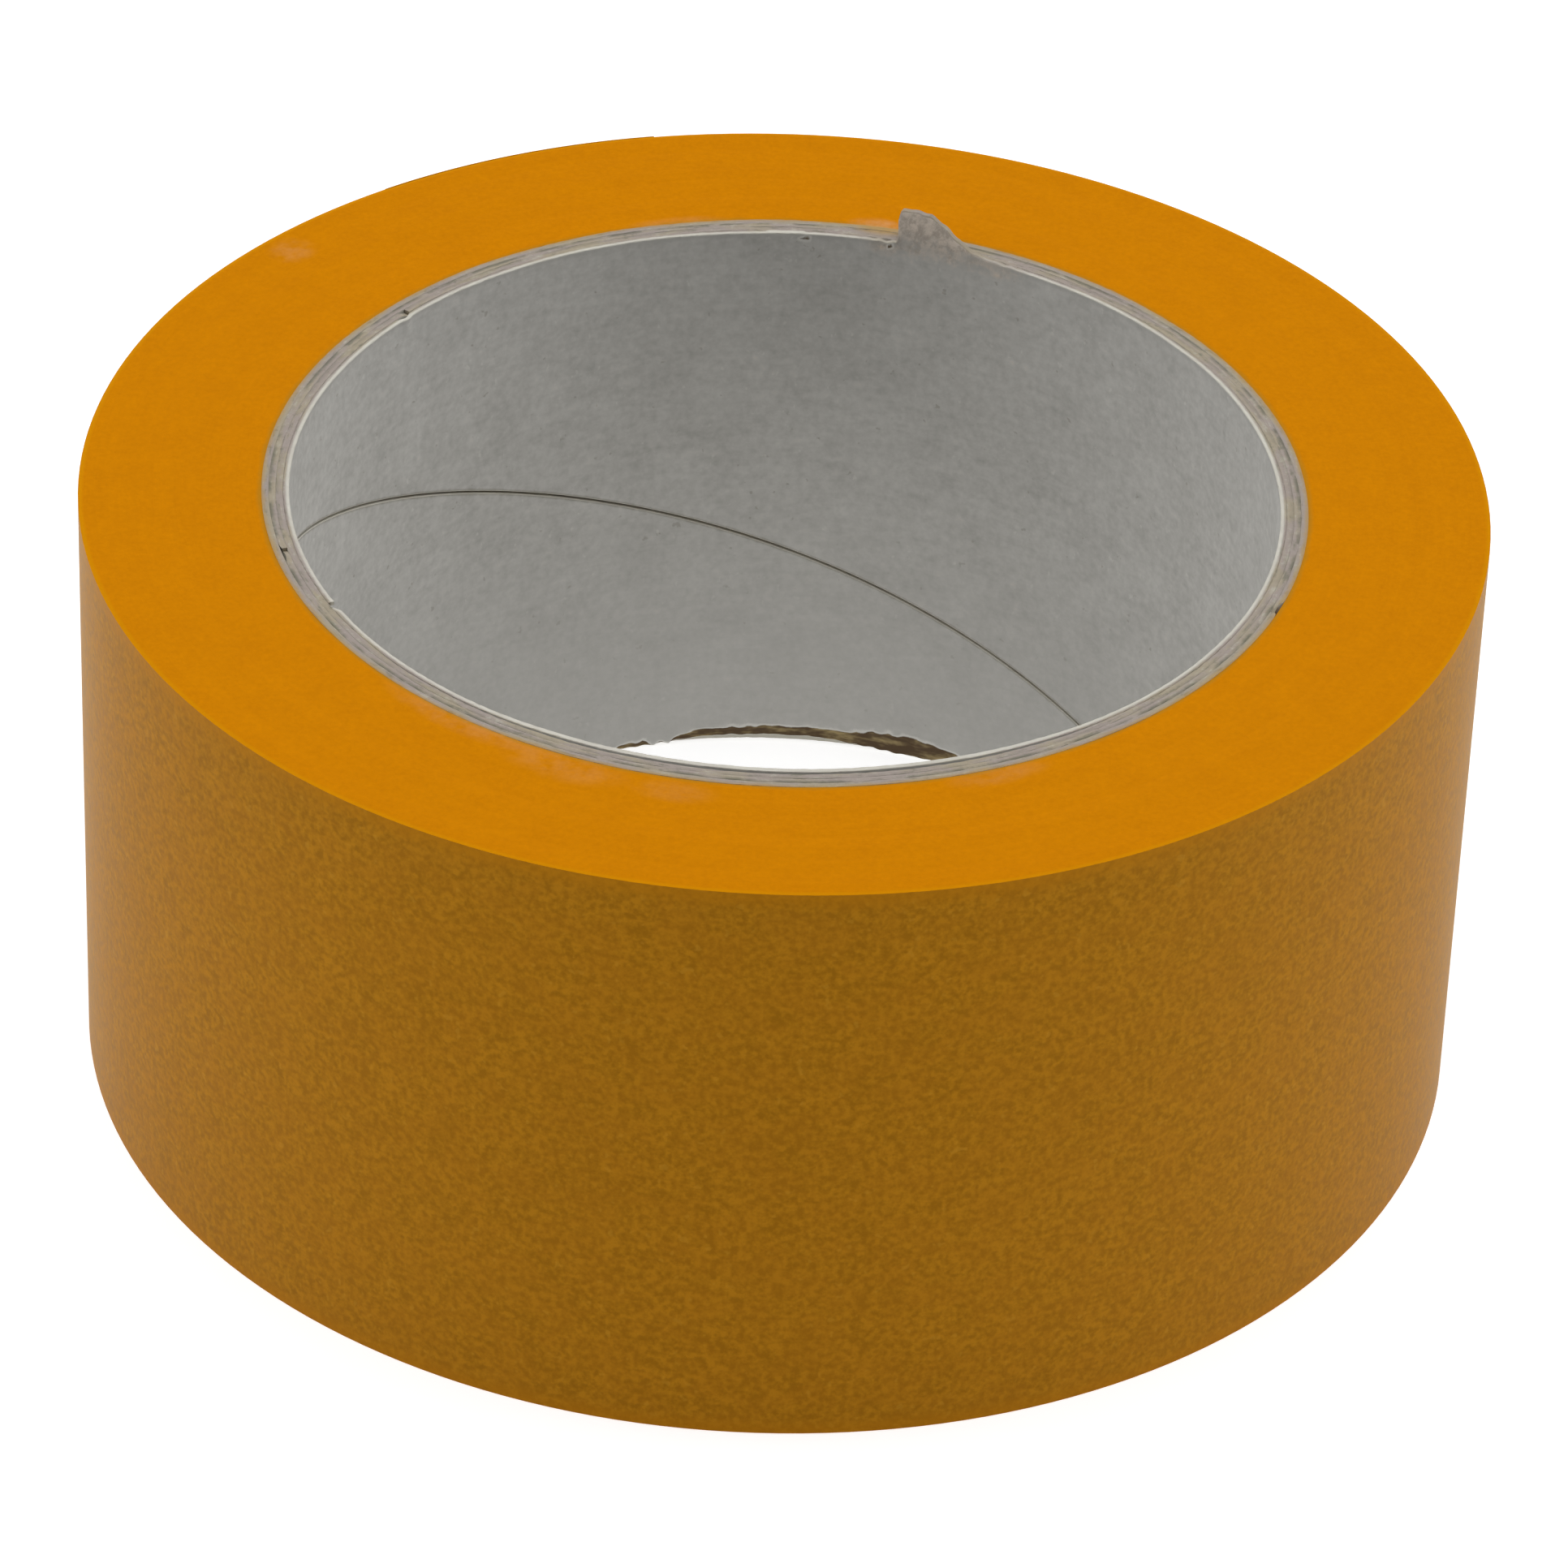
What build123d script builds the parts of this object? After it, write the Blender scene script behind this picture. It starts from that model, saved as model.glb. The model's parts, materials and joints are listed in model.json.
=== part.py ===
from build123d import *
import math
import os

# Masking tape roll: a spiral-wound board core of four plies with one long strip of
# thin paper tape wound on it. Millimetres and degrees. The roll stands on one of its
# cut faces, its axis on +Z, with the origin at the middle of that face. Angles run
# anticlockwise from +X, seen from above.

# Tape
TAPE_WIDTH = 50.0
TAPE_THICKNESS = 0.084
ROLL_RADIUS = 54.5

# Core
BORE_RADIUS = 38.3
PLY_THICKNESS = 0.55
PLY_COUNT = 4

# Butt joints of the plies: every ply advances by the same pitch, right-handed, and
# the angles say where each joint comes out on the top face.
SEAM_PITCH = 91.9
LINER_SEAM_GAP = 0.3
PLY_SEAM_GAP = 1.0
LINER_SEAM_ANGLE = -151.0
INNER_PLY_SEAM_ANGLE = 143.0
OUTER_PLY_SEAM_ANGLE = -163.0
WRAP_SEAM_ANGLE = -20.0

# Torn tongue of the liner, left standing above the top face where the core was cut
TONGUE_ANGLE = 73.0
TONGUE_ROOT_RADIUS = 38.4
TONGUE_THICKNESS = 0.35
TONGUE_LEAN = 12.0
TONGUE_OUTLINE = (
    (2.9, -0.2),
    (2.6, 2.6),
    (1.3, 2.95),
    (-0.5, 2.2),
    (-2.1, 0.9),
    (-3.9, -0.2),
)

# Free end of the tape: it peels off the roll about a line along the tape's width
PEEL_ANGLE = 128.0
FREE_LENGTH = 24.0
RELEASE_GAP = 0.02
PEEL_GAP = 0.05

# How far cutters run past the faces that they cut
OVERRUN = 1.0
QUARTER_TURNS = 4

CORE_RADIUS = BORE_RADIUS + PLY_COUNT * PLY_THICKNESS


def at_angle(radius, angle):
    """Point in the XY plane at this radius and angle."""
    turn = math.radians(angle)
    return Vector(radius * math.cos(turn), radius * math.sin(turn))


def tube(inner_radius, outer_radius, height):
    """Plain tube that stands on the XY plane."""
    return extrude(Circle(outer_radius) - Circle(inner_radius), height)


def sector(inner_radius, outer_radius, start_angle, end_angle):
    """Flat piece of a ring between two radii and two angles."""
    sweep_angle = end_angle - start_angle
    outline = Curve() + [
        CenterArc((0, 0), outer_radius, start_angle, sweep_angle),
        Line(at_angle(outer_radius, end_angle), at_angle(inner_radius, end_angle)),
        CenterArc((0, 0), inner_radius, start_angle, sweep_angle),
        Line(at_angle(inner_radius, start_angle), at_angle(outer_radius, start_angle)),
    ]
    return make_face(outline)


def seam_cutter(inner_radius, outer_radius, top_angle, gap):
    """Helical slot, gap wide across its run, that reaches the top face at top_angle."""
    middle_radius = (inner_radius + outer_radius) / 2
    helix_angle = math.atan2(SEAM_PITCH, math.tau * middle_radius)
    half_angle = math.degrees(gap / math.sin(helix_angle) / middle_radius) / 2
    bottom_angle = top_angle - 360 * (TAPE_WIDTH + OVERRUN) / SEAM_PITCH
    slot = sector(
        inner_radius - OVERRUN,
        outer_radius + OVERRUN,
        bottom_angle - half_angle,
        bottom_angle + half_angle,
    )
    height = TAPE_WIDTH + 2 * OVERRUN
    lowered = slot.faces()[0].moved(Location((0, 0, -OVERRUN)))
    twist = 360 * height / SEAM_PITCH
    return Solid.extrude_linear_with_rotation(
        lowered, (0, 0, -OVERRUN), (0, 0, height), twist
    )


def spiral_ply(layer, top_angle, gap):
    """One ply of the core, counted from the bore, with its helical butt joint."""
    inner_radius = BORE_RADIUS + layer * PLY_THICKNESS
    outer_radius = inner_radius + PLY_THICKNESS
    ply = tube(inner_radius, outer_radius, TAPE_WIDTH)
    return ply - seam_cutter(inner_radius, outer_radius, top_angle, gap)


def torn_tongue():
    """Ragged flat tongue that leans outwards over the core's rim."""
    outward = at_angle(1, TONGUE_ANGLE)
    along_rim = at_angle(1, TONGUE_ANGLE + 90)
    root = outward * TONGUE_ROOT_RADIUS + Vector(0, 0, TAPE_WIDTH)
    upright = Plane(root, x_dir=along_rim, z_dir=outward)
    outline = upright.rotated((-TONGUE_LEAN, 0, 0)) * make_face(
        Polyline(TONGUE_OUTLINE, close=True)
    )
    tongue = extrude(outline, TONGUE_THICKNESS)
    return tongue - extrude(Circle(ROLL_RADIUS), TAPE_WIDTH)


def core_inner_liner():
    """Smooth ply that lines the bore, with a fine joint and the torn tongue."""
    return spiral_ply(0, LINER_SEAM_ANGLE, LINER_SEAM_GAP) + torn_tongue()


def core_inner_ply():
    """First board ply over the liner."""
    return spiral_ply(1, INNER_PLY_SEAM_ANGLE, PLY_SEAM_GAP)


def core_outer_ply():
    """Second board ply."""
    return spiral_ply(2, OUTER_PLY_SEAM_ANGLE, PLY_SEAM_GAP)


def core_outer_wrap():
    """Outermost ply, which the tape is wound on."""
    return spiral_ply(3, WRAP_SEAM_ANGLE, PLY_SEAM_GAP)


def tape_coil():
    """Wound tape: its outside loses one thickness in a turn, back from the peel line."""
    turn_share = 1 / QUARTER_TURNS

    def on_spiral(turns):
        radius = ROLL_RADIUS - TAPE_THICKNESS * turns
        return at_angle(radius, PEEL_ANGLE + 360 * turns)

    outline = Curve()
    for quarter in range(QUARTER_TURNS):
        start = quarter * turn_share
        outline += ThreePointArc(
            on_spiral(start),
            on_spiral(start + turn_share / 2),
            on_spiral(start + turn_share),
        )
    outline += Line(on_spiral(1), on_spiral(0))
    return extrude(make_face(outline) - Circle(CORE_RADIUS), TAPE_WIDTH)


def tape_end():
    """Free end of the tape at rest on the roll, a hair off the lap below."""
    inner_radius = ROLL_RADIUS - TAPE_THICKNESS + RELEASE_GAP
    outer_radius = ROLL_RADIUS + RELEASE_GAP
    tip_angle = PEEL_ANGLE - math.degrees(FREE_LENGTH / ROLL_RADIUS)
    root_angle = PEEL_ANGLE - math.degrees(PEEL_GAP / ROLL_RADIUS)
    return extrude(sector(inner_radius, outer_radius, tip_angle, root_angle), TAPE_WIDTH)


SUB_PARTS = (
    core_inner_liner,
    core_inner_ply,
    core_outer_ply,
    core_outer_wrap,
    tape_coil,
    tape_end,
)

os.makedirs("parts", exist_ok=True)
for sub_part in SUB_PARTS:
    export_step(sub_part(), f"parts/{sub_part.__name__}.step")

peel_line = at_angle(ROLL_RADIUS + RELEASE_GAP, PEEL_ANGLE)
tape_length = math.pi * (ROLL_RADIUS**2 - CORE_RADIUS**2) / TAPE_THICKNESS
print(f"peel line at x {peel_line.X:.3f} mm, y {peel_line.Y:.3f} mm")
print(f"tape length {tape_length / 1000:.1f} m, core radius {CORE_RADIUS:.2f} mm")
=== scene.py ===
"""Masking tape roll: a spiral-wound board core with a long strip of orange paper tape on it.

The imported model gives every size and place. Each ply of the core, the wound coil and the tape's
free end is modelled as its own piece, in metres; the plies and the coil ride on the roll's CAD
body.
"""

import json
import logging
import math
from contextlib import contextmanager
from dataclasses import dataclass, field, replace
from enum import Enum
from typing import Any, Callable, Iterator, Optional, Union

import bpy
import numpy as np
from mathutils import Matrix, Vector


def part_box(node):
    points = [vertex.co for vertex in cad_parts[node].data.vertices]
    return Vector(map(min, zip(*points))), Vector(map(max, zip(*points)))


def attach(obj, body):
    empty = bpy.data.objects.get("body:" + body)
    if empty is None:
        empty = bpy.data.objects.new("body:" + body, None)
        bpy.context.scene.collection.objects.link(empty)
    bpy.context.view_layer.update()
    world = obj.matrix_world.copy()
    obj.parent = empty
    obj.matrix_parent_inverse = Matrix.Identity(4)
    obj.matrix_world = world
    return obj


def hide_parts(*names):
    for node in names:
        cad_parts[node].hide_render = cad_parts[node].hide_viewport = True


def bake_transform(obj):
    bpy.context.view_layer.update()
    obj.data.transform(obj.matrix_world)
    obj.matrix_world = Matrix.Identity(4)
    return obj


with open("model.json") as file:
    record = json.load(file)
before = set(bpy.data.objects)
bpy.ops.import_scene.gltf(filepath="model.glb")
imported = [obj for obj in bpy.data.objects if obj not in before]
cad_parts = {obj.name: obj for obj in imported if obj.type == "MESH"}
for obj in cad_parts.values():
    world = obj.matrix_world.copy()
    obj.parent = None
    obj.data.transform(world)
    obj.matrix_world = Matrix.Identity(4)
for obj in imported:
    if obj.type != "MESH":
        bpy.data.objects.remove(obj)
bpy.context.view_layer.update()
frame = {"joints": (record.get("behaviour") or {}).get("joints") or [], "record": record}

LOG = logging.getLogger("tape_roll")
MM = 0.001
FULL_TURN = math.tau
Colour = tuple[float, float, float]

# Thickness of the paper strip with its adhesive.
TAPE_THICKNESS = 0.084 * MM
# How oval the roll is: the growth of a radius for each metre of height and each square metre
# of x * x - y * y.
OVAL = 39.0
# Normals steeper than this along one axis count as facing along it.
FACING = 0.6
# Edges sharper than these, in degrees, stay crisp when a piece is shaded smooth.
BOARD_CRISP = 50.0
TAPE_CRISP = 40.0
# Names of the numbers that the liner keeps on its vertices for its materials.
FUZZ = "fuzz"
WEAR = "wear"


# ---------------------------------------------------------------------------
# Sizes taken from the frame
# ---------------------------------------------------------------------------


@dataclass(frozen=True)
class RollSizes:
    """Driving sizes of the roll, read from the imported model."""

    width: float
    bore_radius: float
    core_radius: float
    roll_radius: float
    tape_thickness: float
    peel_angle: float
    free_length: float
    peel_point: Vector

    @classmethod
    def from_frame(cls) -> "RollSizes":
        """Reads the sizes from the nodes' boxes, the bore mount and the peel joint.

        Returns:
            The sizes, in metres and radians.
        """
        record = frame["record"]
        bore = next(m for m in record["mounts"] if m["name"] == "core_bore")
        peel = Vector(frame["joints"][0]["pos_m"])
        coil_low, coil_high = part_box("tape_coil")
        wrap_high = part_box("core_outer_wrap")[1]
        end_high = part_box("tape_end")[1]
        thickness = TAPE_THICKNESS
        peel_angle = math.atan2(peel.y, peel.x)
        radius = coil_high.x + thickness * (1.0 - peel_angle / FULL_TURN)
        tip = Vector((end_high.x, math.sqrt(radius**2 - end_high.x**2)))
        return cls(
            width=coil_high.z - coil_low.z,
            bore_radius=bore["dims"]["r_mm"] * MM,
            core_radius=round(wrap_high.x, 5),
            roll_radius=radius,
            tape_thickness=thickness,
            peel_angle=peel_angle,
            free_length=radius * tip.angle(peel.xy),
            peel_point=peel,
        )


# ---------------------------------------------------------------------------
# Shader maths
# ---------------------------------------------------------------------------

Number = Union["Signal", float]
Shade = Union[bpy.types.NodeSocket, Colour]


class Signal:
    """A number that varies over a surface: one socket with arithmetic on it."""

    def __init__(self, paint: "Paint", socket: bpy.types.NodeSocket) -> None:
        """Wraps a socket of a paint's node tree."""
        self.paint = paint
        self.socket = socket

    def __add__(self, other: Number) -> "Signal":
        """Sum."""
        return self.paint.math("ADD", self, other)

    __radd__ = __add__

    def __sub__(self, other: Number) -> "Signal":
        """Difference."""
        return self.paint.math("SUBTRACT", self, other)

    def __rsub__(self, other: Number) -> "Signal":
        """Difference from a plain number."""
        return self.paint.math("SUBTRACT", other, self)

    def __mul__(self, other: Number) -> "Signal":
        """Product."""
        return self.paint.math("MULTIPLY", self, other)

    __rmul__ = __mul__

    def __truediv__(self, other: Number) -> "Signal":
        """Quotient."""
        return self.paint.math("DIVIDE", self, other)

    def __abs__(self) -> "Signal":
        """Size without its sign."""
        return self.paint.math("ABSOLUTE", self)

    def step(self, low: float, high: float) -> "Signal":
        """Smooth rise from 0 at low to 1 at high.

        Args:
            low: Value at which the result leaves 0.
            high: Value at which the result reaches 1; below low for a fall.

        Returns:
            The eased signal.
        """
        settings = {"interpolation_type": "SMOOTHSTEP"}
        inputs = {"Value": self, "From Min": low, "From Max": high}
        made = self.paint.node("ShaderNodeMapRange", settings, inputs)
        return Signal(self.paint, made.outputs[0])


class Paint:
    """One material, built node by node."""

    def __init__(self, name: str) -> None:
        """Starts an empty material of this name."""
        self.material = bpy.data.materials.new(name)
        self.material.use_nodes = True
        self.tree = self.material.node_tree
        self.tree.nodes.clear()
        self.place = self.node("ShaderNodeTexCoord").outputs["Object"]
        axes = self.node("ShaderNodeSeparateXYZ", inputs={"Vector": self.place}).outputs
        self.x, self.y, self.z = (Signal(self, axis) for axis in axes)
        across, deep = self.x * self.x, self.y * self.y
        oval = self.z * (across - deep) * OVAL
        self.radius = self.math("SQRT", across + deep) * (1.0 - oval)
        self.angle = self.math("ARCTAN2", self.y, self.x)

    def node(
        self,
        kind: str,
        settings: Optional[dict[str, Any]] = None,
        inputs: Optional[dict[Union[str, int], Any]] = None,
    ) -> bpy.types.Node:
        """Adds a node.

        Args:
            kind: The node's type.
            settings: Its properties, set first.
            inputs: Values or links for its sockets, by name or number.

        Returns:
            The new node.
        """
        made = self.tree.nodes.new(kind)
        for name, value in (settings or {}).items():
            setattr(made, name, value)
        for key, value in (inputs or {}).items():
            self.feed(made.inputs[key], value)
        return made

    def feed(self, socket: bpy.types.NodeSocket, value: Any) -> None:
        """Links or sets one input socket.

        Args:
            socket: The socket to feed.
            value: A signal, a socket, a number or a colour.
        """
        source = value.socket if isinstance(value, Signal) else value
        if isinstance(source, bpy.types.NodeSocket):
            self.tree.links.new(source, socket)
        elif socket.type == "RGBA" and len(source) == 3:
            socket.default_value = (*source, 1.0)
        else:
            socket.default_value = source

    def math(self, operation: str, *values: Number) -> Signal:
        """One Math node.

        Args:
            operation: The node's operation.
            values: Its operands.

        Returns:
            The result as a signal.
        """
        settings = {"operation": operation}
        made = self.node("ShaderNodeMath", settings, dict(enumerate(values)))
        return Signal(self, made.outputs[0])

    def mix(self, share: Number, first: Shade, second: Shade) -> bpy.types.NodeSocket:
        """Colour that runs from first to second as share goes from 0 to 1.

        Args:
            share: How much of second shows.
            first: Colour at 0.
            second: Colour at 1.

        Returns:
            The mixed colour's socket.
        """
        settings = {"data_type": "RGBA", "clamp_factor": True}
        return self.node("ShaderNodeMix", settings, {0: share, 6: first, 7: second}).outputs[2]

    def tint(self, colour: Shade, strength: Number) -> bpy.types.NodeSocket:
        """Colour made lighter or darker by a factor.

        Args:
            colour: What is scaled.
            strength: 1 leaves it as it is.

        Returns:
            The scaled colour's socket.
        """
        settings = {"operation": "SCALE"}
        made = self.node("ShaderNodeVectorMath", settings, {0: colour, "Scale": strength})
        return made.outputs[0]

    def noise(
        self,
        size: float,
        detail: float = 2.0,
        stretch: Colour = (1.0, 1.0, 1.0),
        place: Optional[bpy.types.NodeSocket] = None,
        roughness: float = 0.55,
    ) -> Signal:
        """Cloudy noise about 0.5.

        Args:
            size: Size of one cloud, in metres.
            detail: Octaves of finer noise in it.
            stretch: How much tighter the noise is along X, Y and Z.
            place: The position that it is read at, by default the object's own.
            roughness: How strong the finer noise is.

        Returns:
            The noise as a signal.
        """
        scale = tuple(part / size for part in stretch)
        mapped = self.node(
            "ShaderNodeMapping", inputs={"Vector": place or self.place, "Scale": scale}
        )
        made = self.node(
            "ShaderNodeTexNoise",
            inputs={
                "Vector": mapped.outputs[0],
                "Scale": 1.0,
                "Detail": detail,
                "Roughness": roughness,
            },
        )
        return Signal(self, made.outputs["Fac"])

    def unrolled(self, radius: float) -> bpy.types.NodeSocket:
        """Position on the unrolled wall: length round it, radius, height.

        Args:
            radius: Radius that the length is measured at.

        Returns:
            A vector socket, in metres, without a jump anywhere in the turn.
        """
        inputs = {"X": abs(self.angle) * radius, "Y": self.radius, "Z": self.z}
        return self.node("ShaderNodeCombineXYZ", inputs=inputs).outputs[0]

    def attribute(self, name: str) -> Signal:
        """A number kept on the piece's own vertices."""
        made = self.node("ShaderNodeAttribute", {"attribute_name": name})
        return Signal(self, made.outputs["Fac"])

    def near(self, spot: "Spot") -> Signal:
        """Mask that is 1 at a spot and falls to 0 at its edge.

        Args:
            spot: Where the mark is and how large.

        Returns:
            The mask.
        """
        across = (self.radius - spot.radius) / spot.across
        centre = (math.cos(spot.angle), math.sin(spot.angle))
        along = (self.x * -centre[1] + self.y * centre[0]) / spot.along
        facing = (self.x * centre[0] + self.y * centre[1]).step(0.0, spot.radius * 0.5)
        distance = self.math("SQRT", across * across + along * along)
        return distance.step(1.0, 0.25) * facing

    def bump(self, height: Number, distance: float, strength: float = 1.0) -> bpy.types.NodeSocket:
        """Normal that follows a height.

        Args:
            height: Height as a signal, where 1 stands distance proud.
            distance: Height of 1, in metres.
            strength: Share of the effect.

        Returns:
            The normal's socket.
        """
        inputs = {"Height": height, "Distance": distance, "Strength": strength}
        return self.node("ShaderNodeBump", inputs=inputs).outputs[0]

    def finish(self, **sockets: Any) -> bpy.types.Material:
        """Ends the material in one Principled shader.

        Args:
            sockets: Its inputs, with _ for the spaces in their names.

        Returns:
            The finished material.
        """
        inputs = {name.replace("_", " "): value for name, value in sockets.items()}
        shader = self.node("ShaderNodeBsdfPrincipled", inputs=inputs)
        output = self.node("ShaderNodeOutputMaterial")
        self.tree.links.new(shader.outputs[0], output.inputs["Surface"])
        return self.material


@dataclass(frozen=True)
class Spot:
    """A mark on a cut face: its middle and its reach round and across the face."""

    angle: float
    radius: float
    along: float
    across: float
    strength: float


# ---------------------------------------------------------------------------
# Finishes
# ---------------------------------------------------------------------------


@dataclass(frozen=True)
class CutTapeFinish:
    """Cut edges of the wound laps: matt, saturated, with faint lap lines, smudges and a painted
    highlight along the outer rim.
    """

    core_radius: float
    roll_radius: float
    colour: Colour = (0.63, 0.222, 0.0005)
    deep: Colour = (0.56, 0.190, 0.0004)
    smudge: Colour = (0.62, 0.33, 0.15)
    fringe: Colour = (0.44, 0.20, 0.012)
    # Painted highlight colour for the outer rim of the cut face.
    edge: Colour = (0.65, 0.265, 0.0008)
    smudges: tuple[Spot, ...] = ()
    lap: float = TAPE_THICKNESS

    def make(self) -> bpy.types.Material:
        """Builds the material.

        Returns:
            The finished material.
        """
        paint = Paint("tape_cut_edges")
        unrolled = paint.unrolled(self.roll_radius)
        laps = paint.noise(self.lap * 3.0, 3.0, (0.02, 1.0, 0.02), unrolled, 0.8)
        bands = paint.noise(1.6 * MM, 1.0, (0.01, 1.0, 0.01), unrolled)
        mottle = paint.noise(2.6 * MM, 3.0)
        grain = paint.noise(0.22 * MM, 2.0)
        speckle = paint.noise(0.55 * MM, 2.0, roughness=0.6)
        shade = (laps - 0.5) * 0.6 + (bands - 0.5) * 0.4 + (mottle - 0.5) * 0.9 + 0.5
        shade = shade + (speckle - 0.5) * 1.6
        colour = paint.mix(shade, self.deep, self.colour)
        inset = paint.radius - self.core_radius + (mottle - 0.5) * (0.5 * MM)
        colour = paint.mix(inset.step(0.50 * MM, 0.0) * 0.8, colour, self.fringe)
        # Painted highlight: a brighter band just inside the outer rim, where the outer laps' cut
        # edge catches the light.
        highlight_margin = self.roll_radius - paint.radius + (grain - 0.5) * (0.3 * MM)
        colour = paint.mix(highlight_margin.step(0.5 * MM, 0.2 * MM) * 0.6, colour, self.edge)
        residue: Number = 0.0
        ragged = paint.noise(1.3 * MM, 3.0).step(0.25, 0.70)
        for spot in self.smudges:
            residue = paint.near(spot) * ragged * spot.strength + residue
        colour = paint.mix(residue, colour, self.smudge)
        height = laps * 0.7 + grain * 0.3
        return paint.finish(
            Base_Color=paint.tint(colour, 1.0 + (grain - 0.5) * 0.10),
            Roughness=0.62 + (mottle - 0.5) * 0.12,
            Specular_IOR_Level=0.01,
            Normal=paint.bump(height, 0.02 * MM, 0.35),
        )


@dataclass(frozen=True)
class TapePaperFinish:
    """Outside of the tape: thin satin paper with a fine speckled grain."""

    width: float
    radius: float
    colour: Colour = (0.445, 0.190, 0.0060)
    deep: Colour = (0.295, 0.124, 0.002)
    pale: Colour = (0.50, 0.235, 0.016)
    ruddy: Colour = (0.385, 0.148, 0.0045)
    edge: Colour = (0.43, 0.165, 0.002)
    sheen: Colour = (0.90, 1.0, 0.80)

    def make(self) -> bpy.types.Material:
        """Builds the material.

        Returns:
            The finished material.
        """
        paint = Paint("tape_paper")
        unrolled = paint.unrolled(self.radius)
        grain = paint.noise(0.52 * MM, 2.0, roughness=0.6)
        fibres = paint.noise(0.80 * MM, 2.0, (0.55, 1.0, 1.4), unrolled)
        mottle = paint.noise(3.4 * MM, 3.0, roughness=0.6)
        hue = paint.noise(2.6 * MM, 2.0, (0.8, 0.8, 1.2))
        speck = paint.noise(0.80 * MM, 1.0).step(0.66, 0.76)
        pit = paint.noise(0.70 * MM, 1.0, (1.1, 1.0, 0.9)).step(0.34, 0.25)
        shade = (grain - 0.5) * 3.2 + (fibres - 0.5) + (mottle - 0.5) * 0.5
        colour = paint.mix(shade + 0.5, self.deep, self.colour)
        colour = paint.mix(hue.step(0.35, 0.65) * 0.25 + 0.1, colour, self.ruddy)
        colour = paint.mix(speck * 0.40, colour, self.pale)
        colour = paint.mix(pit * 0.45, colour, self.deep)
        height_up = paint.z + (grain - 0.5) * (1.2 * MM)
        rim = height_up.step(self.width - 1.8 * MM, self.width - 0.4 * MM)
        foot = height_up.step(1.6 * MM, 0.3 * MM)
        colour = paint.mix((rim + foot) * 0.55, colour, self.edge)
        height = grain * 0.6 + fibres * 0.4
        return paint.finish(
            Base_Color=colour,
            Roughness=0.50 + (grain - 0.5) * 0.25,
            Specular_IOR_Level=0.025,
            Sheen_Weight=0.115,
            Sheen_Roughness=0.35,
            Sheen_Tint=self.sheen,
            Normal=paint.bump(height, 0.035 * MM, 0.6),
        )


@dataclass(frozen=True)
class AdhesiveFinish:
    """Sticky side of the tape: the paper's colour under a clear wet-looking coat."""

    radius: float
    colour: Colour = (0.55, 0.235, 0.018)
    deep: Colour = (0.47, 0.18, 0.010)

    def make(self) -> bpy.types.Material:
        """Builds the material.

        Returns:
            The finished material.
        """
        paint = Paint("tape_adhesive")
        streaks = paint.noise(1.4 * MM, 3.0, (0.12, 1.0, 1.0), paint.unrolled(self.radius))
        grain = paint.noise(0.4 * MM, 2.0)
        return paint.finish(
            Base_Color=paint.mix(streaks, self.deep, self.colour),
            Roughness=0.30 + (grain - 0.5) * 0.2,
            Specular_IOR_Level=0.08,
            Coat_Weight=0.22,
            Coat_Roughness=0.18,
            Normal=paint.bump(streaks * 0.7 + grain * 0.3, 0.03 * MM, 0.5),
        )


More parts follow.
